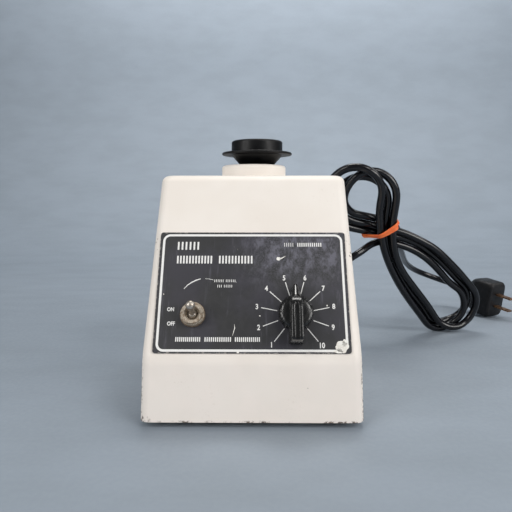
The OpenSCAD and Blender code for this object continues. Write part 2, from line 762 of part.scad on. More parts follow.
module cord_hank() color(plastic_black) on_hank() translate([0, 0, -hank_t / 2])
    linear_extrude(hank_t) {
        hull() {
            translate([-108, 136]) circle(27, $fn = 32);
            translate([-119.5, 133]) circle(25, $fn = 32);
            translate(tie_at) circle(13, $fn = 32);
        }
        hull() {
            translate(tie_at) circle(13, $fn = 32);
            translate([-38, 55.5]) circle(23, $fn = 32);
            translate([-8, 28.5]) circle(24.5, $fn = 32);
        }
    }

// The tie crosses the hank square to its length
tie_turn = -62;

module cord_tie() color("#F06A3A") on_hank() translate(tie_at) rotate([0, 0, tie_turn])
    rotate([0, 90, 0]) translate([0, 0, -3.5]) linear_extrude(7) difference() {
        rounded_rect(hank_t + 4, 32, 4);
        rounded_rect(hank_t + 0.6, 28.6, 3);
    }

start_route = [[30, 98.5, 22], [30, 112, 22], [37, 125, 27], [51, 127.3, 39], [63, 119.5, 51.5],
    [74, 110, 63.5], [84, 104, 73], [93, 104.5, 80], [102, 107.5, 85.8], [111, 108.3, 88.6]];
lead_route = [[111, 103, 109.3], [119.6, 106.3, 106.1], [128.2, 115.8, 99.3], [132.1, 129.3, 94],
    [140.3, 156.1, 83.5], [151, 182.1, 73], [161.3, 208.2, 62.5], [174.1, 233, 51.5],
    [183, 243.6, 46], [194.6, 251.4, 40.5], [208.3, 253.9, 35.3], [220.5, 250, 31],
    [229.4, 241.6, 27.6], [233.4, 234, 26.4]];

module cord_start() color(plastic_black) tube(smooth(start_route, 3), cord_d / 2, 10);

module cord_lead() color(plastic_black) tube(smooth(lead_route, 3), cord_d / 2, 10);

// The plug lies on the table: +Z along its blades
plug_at = [256.8, 190, 19.4];
plug_turn = -62;
plug_dip = 8;
plug_w = 25;
plug_h = 38;

module on_plug() translate(plug_at) rotate([0, 0, plug_turn]) rotate([0, 90 + plug_dip, 0])
    children();

module plug_body() color(plastic_black) on_plug() {
    hull() {
        translate([0, 0, -2]) linear_extrude(2) rounded_rect(plug_h - 5, plug_w - 5, 3);
        translate([0, 0, -20]) linear_extrude(17) rounded_rect(plug_h, plug_w, 4);
        translate([0, 0, -32]) linear_extrude(2) rounded_rect(22, 16, 5);
    }
    translate([0, 0, -50]) cylinder(r1 = cord_d / 2 + 1.2, r2 = 6.5, h = 19);
}

module plug_blades() color(brass) on_plug() for (x = [-6.35, 6.35]) difference() {
    translate([x, 0, 8.6]) cube([1.5, 6.3, 17], center = true);
    translate([x, 0, 13.5]) rotate([0, 90, 0]) cylinder(r = 1.6, h = 4, center = true);
}

housing_shell();
bottom_plate();
feet();
bottom_screws();
label_plate();
toggle_body();
toggle_bushing();
toggle_washer();
toggle_nut();
toggle_terminals();
toggle_lever();
speed_control_body();
speed_control_bushing();
speed_control_nut();
speed_control_shaft();
speed_knob();
knob_set_screw();
guide_posts();
post_nuts();
press_springs();
touch_switch();
switch_bracket();
switch_plunger();
small_screws();
control_board();
board_standoffs();
run_capacitor();
triac_heatsink();
choke_coil();
terminal_block();
internal_leads();
dust_seal();
motor_bracket();
post_bushes();
lower_bell();
upper_bell();
stator_core();
stator_windings();
motor_bolts();
motor_nuts();
lower_bearing();
upper_bearing();
motor_shaft();
rotor_core();
rotor_end_rings();
cooling_fan();
eccentric_hub();
hub_set_screw();
crank_pin();
pin_clip();
cup_bearing();
cup_insert();
mixing_cup();
strain_relief();
cord_start();
cord_hank();
cord_tie();
cord_lead();
plug_body();
plug_blades();
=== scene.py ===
"""The looks of a bench vortex mixer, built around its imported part.

The scene is in metres. Places and sizes of pieces are in mm of the part's own frame, the row frame: the
front looks along -Y and the floor is z = 0. The camera and the lights are placed in metres.
"""

import math

import bpy
import numpy as np
from mathutils import Matrix, Vector


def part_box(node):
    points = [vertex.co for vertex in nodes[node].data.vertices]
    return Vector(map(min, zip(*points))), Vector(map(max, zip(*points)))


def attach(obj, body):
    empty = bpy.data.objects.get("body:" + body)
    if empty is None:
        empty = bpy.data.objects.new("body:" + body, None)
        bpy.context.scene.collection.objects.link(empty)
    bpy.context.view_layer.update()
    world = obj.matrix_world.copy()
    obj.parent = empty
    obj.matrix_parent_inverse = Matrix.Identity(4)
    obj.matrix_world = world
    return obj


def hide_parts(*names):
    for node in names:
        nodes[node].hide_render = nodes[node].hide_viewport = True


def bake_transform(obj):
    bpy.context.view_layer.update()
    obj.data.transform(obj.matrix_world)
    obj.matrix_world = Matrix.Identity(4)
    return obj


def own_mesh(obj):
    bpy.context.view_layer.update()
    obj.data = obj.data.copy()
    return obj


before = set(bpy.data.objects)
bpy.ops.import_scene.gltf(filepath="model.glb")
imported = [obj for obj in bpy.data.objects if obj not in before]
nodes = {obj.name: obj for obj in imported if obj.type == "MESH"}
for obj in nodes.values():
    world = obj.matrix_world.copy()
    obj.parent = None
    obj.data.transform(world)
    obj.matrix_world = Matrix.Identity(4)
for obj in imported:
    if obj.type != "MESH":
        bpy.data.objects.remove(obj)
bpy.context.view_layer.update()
scene = bpy.context.scene
MM = 0.001

# ------------------------------------------------------------------ places on the part, in mm

BODY_D = 155  # the housing, front to back
FRONT_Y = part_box("housing_shell")[1].y / MM - BODY_D
KNEE_Z = 39  # the crease where the front starts to lean
SKIRT_Z = 4  # the foot of the skirt
FLARE = 1.4  # how far each side of the skirt comes in, from crease to foot
PANEL_LEAN = math.radians(27)
LABEL_TOP = 0.8  # the label's face above the panel
DIAL = (24.4, 25.6)  # the knob's middle, across the panel and up it
CORD_D = 6.5
HANK_AT, HANK_TURN, HANK_LEAN = (192.5, 142, 0), 8.5, 18
PLUG_AT, PLUG_TURN, PLUG_DIP = (256.8, 190, 19.4), -62, 8

panel_frame = Matrix((
    (1, 0, 0, 0),
    (0, math.sin(PANEL_LEAN), -math.cos(PANEL_LEAN), FRONT_Y),
    (0, math.cos(PANEL_LEAN), math.sin(PANEL_LEAN), KNEE_Z),
    (0, 0, 0, 1)))
hank_frame = (Matrix.Translation(HANK_AT) @ Matrix.Rotation(math.radians(HANK_TURN), 4, "Z")
              @ Matrix.Rotation(math.radians(90 + HANK_LEAN), 4, "X"))
plug_frame = (Matrix.Translation(PLUG_AT) @ Matrix.Rotation(math.radians(PLUG_TURN), 4, "Z")
              @ Matrix.Rotation(math.radians(90 + PLUG_DIP), 4, "Y"))
TIE_AT = np.array((-88.7, 105.0))  # in the hank's own plane, as is its turn
TIE_TURN = math.radians(-62)


def moved(points, matrix):
    """Points in mm of a local frame as an array in mm of the row frame."""
    m = np.array(matrix)
    return np.asarray(points, float) @ m[:3, :3].T + m[:3, 3]


# ------------------------------------------------------------------ camera

CAMERA_AWAY, CAMERA_UP, CAMERA_ASIDE = 0.265, 0.126, 0.0046  # from the crease, the floor, the middle
CAMERA_DIP, CAMERA_TURN = 6.4, 0.5

camera_data = bpy.data.cameras.new("camera")
camera_data.lens = 35.2
camera_data.sensor_width = 36
camera = bpy.data.objects.new("camera", camera_data)
camera.location = (CAMERA_ASIDE, FRONT_Y * MM - CAMERA_AWAY, CAMERA_UP)
camera.rotation_euler = (math.radians(90 - CAMERA_DIP), 0, math.radians(CAMERA_TURN))
scene.collection.objects.link(camera)
scene.camera = camera
scene.view_settings.view_transform = "Standard"


# ------------------------------------------------------------------ making pieces

def place(obj, body, look):
    """Links a new piece, gives it the look of that name and lets it ride."""
    scene.collection.objects.link(obj)
    obj.data.materials.append(LOOKS[look].material)
    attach(obj, body)
    return obj


def mesh_object(name, points, faces, smooth=True):
    """A mesh from points in mm of the row frame."""
    data = bpy.data.meshes.new(name)
    data.from_pydata([tuple(p) for p in np.asarray(points, float) * MM], [], faces)
    data.validate()
    if smooth:
        data.shade_smooth()
    return bpy.data.objects.new(name, data)


def tube_object(name, points, radius):
    """A round cord of that radius along points in mm, as a curve of one open spline."""
    data = bpy.data.curves.new(name, "CURVE")
    data.dimensions = "3D"
    spline = data.splines.new("POLY")
    spline.points.add(len(points) - 1)
    places = np.hstack([np.asarray(points) * MM, np.ones((len(points), 1))])
    spline.points.foreach_set("co", places.astype(np.float32).ravel())
    spline.use_smooth = True
    data.bevel_depth = radius * MM
    data.bevel_resolution = 5
    data.use_fill_caps = True
    return bpy.data.objects.new(name, data)


def loft(*skins):
    """Points and faces of closed skins, each through rings with the same number of points."""
    points, faces = [], []
    for rings in skins:
        start, around = len(points), len(rings[0])
        last = start + (len(rings) - 1) * around
        points += list(np.vstack(rings))
        for low in range(start, last, around):
            for k in range(around):
                n = (k + 1) % around
                faces.append((low + k, low + n, low + around + n, low + around + k))
        faces.append(tuple(range(start + around - 1, start - 1, -1)))
        faces.append(tuple(range(last, last + around)))
    return points, faces


def catmull_rom(control, steps):
    """A smooth line through control points."""
    p = np.asarray(control, float)
    p = np.vstack([2 * p[0] - p[1], p, 2 * p[-1] - p[-2]])
    t = (np.arange(steps) / steps)[:, None]
    parts = []
    for i in range(1, len(p) - 2):
        a, b, c, d = p[i - 1], p[i], p[i + 1], p[i + 2]
        parts.append(0.5 * (2 * b + (c - a) * t + (2 * a - 5 * b + 4 * c - d) * t ** 2
                            + (3 * b - a - 3 * c + d) * t ** 3))
    return np.vstack(parts + [p[-2:-1]])


def evenly(points, step):
    """The same line with points a step apart."""
    run = np.r_[0, np.cumsum(np.linalg.norm(np.diff(points, axis=0), axis=1))]
    at = np.linspace(0, run[-1], int(round(run[-1] / step)) + 1)
    return np.stack([np.interp(at, run, points[:, k]) for k in range(3)], axis=1)


# ------------------------------------------------------------------ the mains lead

FOLD_R = 21.4  # the round folds of the hank
# From the strain relief to the hank, and from the hank to the plug
START = [(30, 88, 22), (30, 98.5, 22), (30, 112, 22), (37, 125, 27), (51, 127, 39), (68, 116, 57),
         (84, 102, 75)]
LEAD = [(138, 150, 86), (147, 172, 77), (157, 197, 67), (166, 219, 58), (177, 237, 49.5),
        (190, 249, 42.5), (205, 254, 36.5), (219, 251, 31.5), (229, 243.5, 28.5), (235, 232.5, 26.5)]


def fold(x, y, start, end, count, z_start, z_end):
    """A round fold of the hank: an arc in its plane that also crosses it."""
    return [(x + FOLD_R * math.cos(math.radians(a)), y + FOLD_R * math.sin(math.radians(a)), z)
            for a, z in zip(np.linspace(start, end, count), np.linspace(z_start, z_end, count))]


# Along the hank, up it and out of its plane, towards the front: three figures of eight
WINDINGS = (
    [(-103, 81.5, -5), (-93.6, 88.8, -6.5), (-83, 91.9, -6.8), (-70.1, 90.9, -6), (-53.8, 84.1, -5),
     (-38.4, 74.3, -4), (-23.5, 61.3, -3.5), (-10.6, 48.5, -3)]
    + fold(-14.4, 25.5, 45, -145, 6, -2.5, 4)
    + [(-52, 36, 4.8), (-67.8, 56.9, 4.8), (-79.7, 76.6, 4.8), (-86.7, 92.4, 4.8),
       (-90.3, 103.8, 4.8), (-93.4, 115.2, 5), (-95.9, 127.7, 5.5)]
    + fold(-117.7, 139.7, 10, 180, 6, 6, -4)
    + [(-138.3, 128.7, -6), (-132, 117.3, -7), (-121.1, 110.6, -7), (-105.9, 105.4, -7),
       (-90.7, 100.1, -6.8), (-75.6, 96.6, -6.8), (-58.3, 91.9, -7), (-40.9, 83.1, -7), (-23.3, 70.1, -7),
       (-8, 56, -6.5)]
    + fold(-9.9, 27.9, 50, -145, 6, -5.5, 0)
    + [(-36.9, 28.1, 0.5), (-50.3, 42.6, 1), (-62.6, 59.2, 1), (-73.9, 76.9, 1), (-81.9, 92.4, 1),
       (-85, 105.9, 1), (-87.1, 119.4, 1)]
    + fold(-108.9, 130.8, 10, 190, 6, 1, -6)
    + [(-124.5, 116.3, -7), (-114.7, 111.3, -7), (-100.6, 108.5, -7), (-86.6, 105.5, -6.5),
       (-71.5, 101.8, -5), (-54.8, 96, -3), (-35.3, 86.2, -1.5), (-18.5, 72.7, -0.5), (-3.1, 58.7, 0)]
    + fold(-4.2, 28.1, 40, -145, 6, 0.5, 4.5)
    + [(-35.8, 32.4, 4.8), (-49.8, 48.4, 4.8), (-64.1, 64.8, 4.8), (-74.7, 82.3, 4.8),
       (-79.7, 97.3, 4.8), (-81.7, 110.1, 4.8), (-82.2, 122.7, 4.8)]
    + fold(-104.2, 136, 10, 200, 7, 4.8, -6.5)
    + [(-118.1, 119.4, -7), (-107.3, 115.2, -7), (-95.4, 112.7, -7.5), (-82.4, 109, -8.5),
       (-70.4, 102.8, -11.5)])


def settle(line, rounds=500):
    """Lets a cord find its lie: turns push each other a diameter apart and no bend gets sharp."""
    gap = CORD_D + 0.1  # between the middles of two turns
    bend = 24  # the radius that a bend opens to
    keep, soften = 0.005, 0.4  # pull to the first line, and smoothing, in each round
    apart, reach = 12, 4  # points: along the cord before two count as turns, and either side of a bend
    rest = line.copy()
    i, j = np.triu_indices(len(line), apart)
    step = np.linalg.norm(np.diff(line, axis=0), axis=1).mean()
    for _ in range(rounds):
        q = line.copy()
        even = (-line[:-4] + 4 * line[1:-3] + 4 * line[3:-1] - line[4:]) / 6
        q[2:-2] += soften * (even - line[2:-2])
        for k in (reach, 2 * reach):
            most = (k * step) ** 2 / (2 * bend)
            pull = (q[:-2 * k] + q[2 * k:]) / 2 - q[k:-k]
            size = np.linalg.norm(pull, axis=1)
            pull *= (np.maximum(size - most, 0) / np.maximum(size, 1e-9) / 4)[:, None]
            q[k:-k] += pull
            q[:-2 * k] -= pull / 2
            q[2 * k:] -= pull / 2
        link = np.diff(q, axis=0)
        size = np.linalg.norm(link, axis=1)[:, None]
        link *= (size - step) / size / 4
        q[:-1] += link
        q[1:] -= link
        q += keep * (rest - q)
        between = q[i] - q[j]
        size = np.linalg.norm(between, axis=1)
        near = size < gap
        if near.any():
            shove = between[near] * ((gap - size[near]) / 2 / np.maximum(size[near], 1e-6))[:, None]
            total, count = np.zeros_like(q), np.zeros(len(q))
            np.add.at(total, i[near], shove)
            np.add.at(total, j[near], -shove)
            np.add.at(count, i[near], 1)
            np.add.at(count, j[near], 1)
            q += total / np.maximum(count, 1)[:, None]
        q[:3], q[-3:] = rest[:3], rest[-3:]
        line = q
    return line


to_hank = hank_frame.inverted()
control = np.vstack([moved(START, to_hank), WINDINGS, moved(LEAD, to_hank)])
hank_line = settle(evenly(catmull_rom(control, steps=12), step=2.5))
lead_line = moved(hank_line, hank_frame)


# ------------------------------------------------------------------ materials

def tone(red, green, blue):
    """A colour given as it looks on a screen, 0 to 255, as the shader needs it."""
    def straight(c):
        c /= 255
        return c / 12.92 if c <= 0.04045 else ((c + 0.055) / 1.055) ** 2.4
    return (straight(red), straight(green), straight(blue), 1)


class Look:
    """A node material on the principled shader. Its textures are in mm of the row frame."""

    def __init__(self, name):
        self.material = bpy.data.materials.new(name)
        self.material.use_nodes = True
        self.tree = self.material.node_tree
        self.shader = self.tree.nodes["Principled BSDF"]
        coordinates = self.node("TexCoord").outputs["Object"]
        self.where = self.maths("MULTIPLY", coordinates, (1 / MM,) * 3, vector=True)
        split = self.node("SeparateXYZ")
        self.put(split.inputs[0], self.where)
        self.x, self.y, self.z = split.outputs

    def node(self, kind, **settings):
        made = self.tree.nodes.new("ShaderNode" + kind)
        for key, value in settings.items():
            setattr(made, key, value)
        return made

    def put(self, socket, value):
        if isinstance(value, bpy.types.NodeSocket):
            self.tree.links.new(value, socket)
        else:
            socket.default_value = value

    def set(self, **values):
        """Sets inputs of the shader by name, with _ for a space."""
        for key, value in values.items():
            self.put(self.shader.inputs[key.replace("_", " ")], value)
        return self

    def maths(self, operation, a, b=0.0, vector=False):
        made = self.node("VectorMath" if vector else "Math", operation=operation)
        self.put(made.inputs[0], a)
        self.put(made.inputs[1], b)
        return made.outputs[0]

    def noise(self, size, detail=3, rough=0.5, stretch=(1, 1, 1), shift=0.0):
        """Soft noise around 0.5, with features about size mm across."""
        made = self.node("TexNoise")
        stretched = self.maths("MULTIPLY", self.where, stretch, vector=True)
        self.put(made.inputs["Vector"], self.maths("ADD", stretched, (shift,) * 3, vector=True))
        self.put(made.inputs["Scale"], 1 / size)
        self.put(made.inputs["Detail"], detail)
        self.put(made.inputs["Roughness"], rough)
        return made.outputs[0]

    def cells(self, size, shift=0.0):
        """Distance from scattered dots, about size mm apart."""
        made = self.node("TexVoronoi")
        self.put(made.inputs["Vector"], self.maths("ADD", self.where, (shift,) * 3, vector=True))
        self.put(made.inputs["Scale"], 1 / size)
        return made.outputs["Distance"]

    def band(self, value, low, high, start=0.0, end=1.0):
        """value from low to high as start to end, with soft ends."""
        made = self.node("MapRange", interpolation_type="SMOOTHSTEP")
        for key, number in zip(("From Min", "From Max", "To Min", "To Max"), (low, high, start, end)):
            self.put(made.inputs[key], number)
        self.put(made.inputs["Value"], value)
        return made.outputs[0]

    def both(self, *masks):
        """Masks multiplied together."""
        made = masks[0]
        for mask in masks[1:]:
            made = self.maths("MULTIPLY", made, mask)
        return made

    def either(self, *masks):
        """The larger of the masks."""
        made = masks[0]
        for mask in masks[1:]:
            made = self.maths("MAXIMUM", made, mask)
        return made

    def mix(self, share, a, b):
        """Colour a, or b where share is 1."""
        made = self.node("Mix", data_type="RGBA")
        self.put(made.inputs[0], share)
        self.put(made.inputs[6], a)
        self.put(made.inputs[7], b)
        return made.outputs[2]

    def bump(self, height, depth, strength=1.0):
        """Adds a relief of that depth in mm."""
        made = self.node("Bump")
        self.put(made.inputs["Height"], height)
        self.put(made.inputs["Distance"], depth * MM)
        self.put(made.inputs["Strength"], strength)
        normal = self.shader.inputs["Normal"]
        if normal.is_linked:
            self.put(made.inputs["Normal"], normal.links[0].from_socket)
        self.put(normal, made.outputs[0])
        return self


def worn(name, light, dark, rough, metal=0.0, size=6.0, depth=0.01, streak=(1, 1, 1), spread=0.12):
    """A plain worked surface: two tones in patches, uneven gloss, fine relief."""
    look = Look(name)
    patches = look.noise(size, 4, 0.6, streak)
    fine = look.noise(size / 9, 3, 0.6, streak, 17)
    share = look.band(look.maths("ADD", patches, look.maths("MULTIPLY", fine, 0.4)), 0.5, 0.9)
    look.set(Base_Color=look.mix(share, tone(*light), tone(*dark)), Metallic=metal,
             Roughness=look.band(fine, 0.3, 0.75, max(rough - spread, 0.04), rough + spread))
    look.bump(fine, depth)
    return look


def cream_paint():
    look = Look("cream_paint")
    cloud = look.band(look.noise(34, 2), 0.35, 0.7)
    colour = look.mix(cloud, tone(236, 229, 221), tone(232, 224, 215))
    # painted light: below the crease and up the foot of the panel to z 46, the paint is mixed in patches
    # towards a lighter tone, standing in for light on the skirt and the crease
    low = look.both(look.band(look.z, 46, 32), look.band(look.noise(11, 3), 0.4, 0.7, 0.3, 0.6))
    colour = look.mix(low, colour, tone(240, 230, 222))
    grime = look.both(look.band(look.noise(2.2, 6, 0.7), 0.56, 0.72, 0, 0.3),
                      look.band(look.noise(30, 2, shift=31), 0.5, 0.68))
    colour = look.mix(grime, colour, tone(204, 192, 176))
    # distance out from the middle, less the flare of the skirt, so the corner stays at one value
    below = look.maths("MAXIMUM", look.maths("SUBTRACT", KNEE_Z, look.z), 0.0)
    side = look.maths("SUBTRACT", look.maths("ABSOLUTE", look.x),
                      look.maths("MULTIPLY", below, FLARE / (KNEE_Z - SKIRT_Z)))
    # distance back from the front face, which leans above the crease
    above = look.maths("MAXIMUM", look.maths("SUBTRACT", look.z, KNEE_Z), 0.0)
    back = look.maths("SUBTRACT", look.maths("SUBTRACT", look.y, FRONT_Y),
                      look.maths("MULTIPLY", above, math.tan(PANEL_LEAN)))
    front = look.band(back, 7, 3)
    ragged = look.noise(1.7, 5, 0.65, shift=5)
    rim = look.both(look.band(look.z, SKIRT_Z + 1.5, SKIRT_Z + 0.1), look.band(ragged, 0.5, 0.53),
                    look.band(look.noise(14, 2, shift=21), 0.42, 0.55))
    corner = look.both(front, look.band(side, 59.2, 60.6), look.band(look.z, 44, 34),
                       look.band(ragged, 0.55, 0.58))
    ends = look.both(front, look.band(look.z, SKIRT_Z + 5, SKIRT_Z + 1), look.band(side, 52, 60),
                     look.band(look.noise(2.6, 5, 0.6, shift=9), 0.55, 0.58))
    shoulder = look.both(front, look.band(side, 54.6, 57), look.band(look.z, 84, 88),
                         look.band(look.z, 112, 104), look.band(look.noise(1.6, 4, shift=3), 0.66, 0.69))
    specks = look.both(look.band(look.cells(9, 4), 0.05, 0.03),
                       look.band(look.noise(40, 2, shift=8), 0.52, 0.62))
    chips = look.either(rim, corner, ends, shoulder, look.maths("MULTIPLY", specks, 0.5))
    bare = look.mix(look.band(look.noise(0.8, 3), 0.4, 0.6), tone(66, 60, 58), tone(122, 104, 90))
    look.set(Base_Color=look.mix(chips, colour, bare),
             Roughness=look.maths("ADD", look.band(look.noise(7, 4, 0.6), 0.3, 0.75, 0.42, 0.55),
                                  look.maths("MULTIPLY", chips, 0.25)),
             Metallic=look.maths("MULTIPLY", chips, 0.35), Specular_IOR_Level=0.35)
    look.bump(look.noise(1.1, 2), 0.022, 0.6)
    look.bump(look.noise(14, 2, shift=12), 0.1, 0.4)
    look.bump(look.maths("SUBTRACT", 1.0, chips), 0.12)
    return look


def label_face():
    look = Look("label_face")
    cloud = look.band(look.noise(24, 3), 0.35, 0.65)
    colour = look.mix(cloud, tone(50, 50, 51), tone(56, 55, 61))
    # hazy smears, most of them at the upper right, and upright scuffs
    upper = look.both(look.band(look.z, 70, 94), look.band(look.x, -16, 12), look.band(look.x, 57, 46))
    haze = look.both(upper, look.band(look.noise(5, 6, 0.72, (1, 1, 0.4)), 0.43, 0.62, 0, 0.75))
    speckle = look.both(upper, look.band(look.noise(0.8, 3, 0.7), 0.46, 0.62, 0, 0.4))
    scuffs = look.both(look.band(look.noise(2.2, 4, 0.7, (1, 0.1, 0.1)), 0.54, 0.7, 0, 0.34),
                       look.band(look.noise(26, 2, shift=14), 0.4, 0.6))
    colour = look.mix(look.either(haze, speckle, scuffs), colour, tone(112, 111, 122))
    # the plate's edge, where the black has gone
    edge = look.either(look.band(look.maths("ABSOLUTE", look.x), 53.9, 54.6),
                       look.band(look.z, 43.4, 42.7), look.band(look.z, 105.8, 106.5))
    colour = look.mix(look.both(edge, look.band(look.noise(1.4, 4), 0.55, 0.62, 0, 0.6)), colour,
                      tone(190, 184, 176))
    specks = look.both(look.band(look.cells(7.5, 2), 0.045, 0.03),
                       look.band(look.noise(18, 2, shift=3), 0.49, 0.57))
    colour = look.mix(look.maths("MULTIPLY", specks, 0.7), colour, tone(190, 188, 186))
    look.set(Base_Color=colour,
             Roughness=look.maths("ADD", look.band(look.noise(3, 5, 0.7), 0.3, 0.7, 0.38, 0.52),
                                  look.maths("MULTIPLY", haze, 0.25)), Specular_IOR_Level=0.4)
    look.bump(look.noise(0.5, 3), 0.006, 0.7)
    look.bump(look.noise(2.2, 4, 0.7, (1, 0.12, 0.12)), 0.01, 0.4)
    return look


def print_white():
    look = Look("print_white")
    thin = look.band(look.noise(1.1, 5, 0.7), 0.58, 0.74, 0, 0.5)
    look.set(Base_Color=look.mix(thin, tone(232, 231, 228), tone(128, 126, 128)),
             Roughness=look.band(look.noise(2, 3), 0.3, 0.7, 0.45, 0.6))
    look.bump(look.noise(0.4, 2), 0.008)
    return look


def knob_gloss():
    look = Look("knob_gloss")
    scuff = look.noise(1.1, 5, 0.7, (1, 0.3, 0.3))
    dust = look.both(look.band(look.noise(0.9, 5, 0.7, shift=3), 0.55, 0.7),
                     look.band(look.noise(8, 2), 0.45, 0.65))
    look.set(Base_Color=look.mix(look.maths("MULTIPLY", dust, 0.25), tone(12, 12, 12), tone(58, 56, 54)),
             Roughness=look.maths("ADD", look.band(scuff, 0.35, 0.7, 0.2, 0.34),
                                  look.maths("MULTIPLY", dust, 0.2)),
             Coat_Weight=0.2, Coat_Roughness=0.2, Specular_IOR_Level=0.45)
    look.bump(scuff, 0.01, 0.5)
    return look


def cup_rubber():
    look = Look("cup_rubber")
    grain = look.noise(0.35, 3)
    dust = look.band(look.noise(2.4, 5, 0.7), 0.52, 0.76, 0, 0.4)
    look.set(Base_Color=look.mix(dust, tone(7, 7, 9), tone(20, 20, 20)),
             Roughness=look.band(look.noise(5, 4, 0.6), 0.3, 0.7, 0.36, 0.5), Specular_IOR_Level=0.24)
    look.bump(grain, 0.012, 0.7)
    look.bump(look.noise(6, 2), 0.05, 0.4)
    return look


def cord_jacket():
    look = Look("cord_jacket")
    grain = look.noise(0.5, 3)
    dust = look.band(look.noise(6, 5, 0.7), 0.52, 0.78, 0, 0.35)
    look.set(Base_Color=look.mix(dust, tone(7, 7, 12), tone(24, 24, 30)),
             Roughness=look.band(look.noise(9, 4, 0.65), 0.3, 0.7, 0.16, 0.28), Specular_IOR_Level=0.4,
             Coat_Weight=0.15, Coat_Roughness=0.1)
    look.bump(grain, 0.01, 0.6)
    look.bump(look.noise(7, 3), 0.12, 0.35)
    return look


def plug_rubber():
    look = Look("plug_rubber")
    wear = look.band(look.noise(3.4, 5, 0.7), 0.45, 0.72)
    look.set(Base_Color=look.mix(wear, tone(9, 9, 12), tone(30, 28, 28)),
             Roughness=look.band(look.noise(1.6, 4, 0.7), 0.3, 0.7, 0.4, 0.58), Specular_IOR_Level=0.35)
    look.bump(look.noise(0.6, 3), 0.03, 0.8)
    return look


def tie_rubber():
    look = Look("tie_rubber")
    fade = look.band(look.noise(4, 4, 0.6), 0.4, 0.7)
    look.set(Base_Color=look.mix(fade, tone(255, 128, 66), tone(244, 104, 50)),
             Roughness=look.band(look.noise(1.5, 4), 0.3, 0.7, 0.42, 0.6), Subsurface_Weight=0.12,
             Subsurface_Radius=(0.004, 0.0015, 0.0008), Subsurface_Scale=0.5)
    look.bump(look.noise(0.7, 3), 0.03, 0.7)
    return look


LOOKS = {
    "cream_paint": cream_paint(),
    "label_face": label_face(),
    "print_white": print_white(),
    "knob_gloss": knob_gloss(),
    "cup_rubber": cup_rubber(),
    "cord_jacket": cord_jacket(),
    "plug_rubber": plug_rubber(),
    "tie_rubber": tie_rubber(),
    "chip_white": worn("chip_white", (240, 238, 232), (222, 217, 208), 0.6, size=3, depth=0.05),
    "black_steel": worn("black_steel", (34, 34, 36), (60, 57, 54), 0.5, 0.6, 12, 0.02),
    "black_rubber": worn("black_rubber", (26, 26, 27), (50, 48, 46), 0.62, size=3, depth=0.03),
    "black_plastic": worn("black_plastic", (24, 24, 26), (44, 43, 44), 0.42, size=4, depth=0.015),
    "nickel": worn("nickel", (204, 198, 190), (156, 146, 134), 0.44, 0.9, 1.6, 0.01, spread=0.08),
    "aged_washer": worn("aged_washer", (134, 118, 100), (84, 68, 54), 0.5, 0.55, 1.1, 0.02),
    "worn_nickel": worn("worn_nickel", (204, 194, 178), (134, 114, 94), 0.42, 0.4, 1.5, 0.02),
    "brown_phenolic": worn("brown_phenolic", (92, 44, 30), (62, 30, 24), 0.45, size=5),
    "brass": worn("brass", (196, 158, 88), (150, 112, 60), 0.3, 1.0, 3),
    "blade_brass": worn("blade_brass", (168, 128, 92), (92, 66, 50), 0.42, 0.85, 2.4, 0.02),
    "zinc": worn("zinc", (190, 192, 194), (150, 150, 148), 0.36, 1.0, 9, 0.01),
    "spring_steel": worn("spring_steel", (150, 150, 152), (96, 94, 94), 0.3, 1.0, 3),
    "bearing_steel": worn("bearing_steel", (205, 206, 208), (160, 160, 162), 0.18, 1.0, 4, 0.004),
    "core_steel": worn("core_steel", (120, 118, 118), (78, 70, 66), 0.5, 0.9, 5, 0.03, (1, 1, 8)),
    "cast_aluminium": worn("cast_aluminium", (184, 186, 188), (140, 140, 142), 0.5, 0.9, 2.4, 0.05),
    "copper": worn("copper", (198, 108, 66), (142, 66, 40), 0.3, 0.9, 1.2, 0.04, (1, 1, 3)),
    "nylon": worn("nylon", (228, 222, 206), (206, 198, 176), 0.48, size=4),
    "red_plastic": worn("red_plastic", (168, 34, 30), (128, 26, 24), 0.35, size=3),
    "board": worn("board", (44, 92, 58), (30, 70, 44), 0.4, size=2.4, depth=0.02),
    "yellow_film": worn("yellow_film", (214, 178, 62), (186, 148, 48), 0.35, size=3),
    "insulation": worn("insulation", (34, 38, 44), (58, 60, 64), 0.4, size=3),
}

NODE_LOOKS = {
    "cream_paint": ["housing_shell"],
    "black_steel": ["bottom_plate", "switch_bracket"],
    "label_face": ["label_plate"],
    "black_rubber": ["feet", "dust_seal", "strain_relief"],
    "nickel": ["toggle_lever"],
    "worn_nickel": ["toggle_bushing", "toggle_nut", "speed_control_bushing"],
    "aged_washer": ["toggle_washer"],
    "brown_phenolic": ["toggle_body", "speed_control_body"],
    "brass": ["toggle_terminals"],
    "zinc": ["bottom_screws", "speed_control_nut", "speed_control_shaft", "knob_set_screw",
             "guide_posts", "post_nuts", "small_screws", "motor_bracket", "motor_bolts", "motor_nuts",
             "eccentric_hub", "hub_set_screw"],
    "knob_gloss": ["speed_knob"],
    "spring_steel": ["press_springs", "pin_clip"],
    "bearing_steel": ["lower_bearing", "upper_bearing", "motor_shaft", "crank_pin", "cup_bearing"],
    "core_steel": ["stator_core", "rotor_core"],
    "cast_aluminium": ["lower_bell", "upper_bell", "rotor_end_rings", "cup_insert", "triac_heatsink"],
    "copper": ["stator_windings", "choke_coil"],
    "black_plastic": ["touch_switch", "terminal_block", "cooling_fan"],
    "nylon": ["post_bushes", "board_standoffs"],
    "red_plastic": ["switch_plunger"],
    "board": ["control_board"],
    "yellow_film": ["run_capacitor"],
    "insulation": ["internal_leads"],
    "cup_rubber": ["mixing_cup"],
    "blade_brass": ["plug_blades"],
}
for look_name, node_names in NODE_LOOKS.items():
    for node_name in node_names:
        for material_slot in nodes[node_name].material_slots:
            material_slot.material = LOOKS[look_name].material

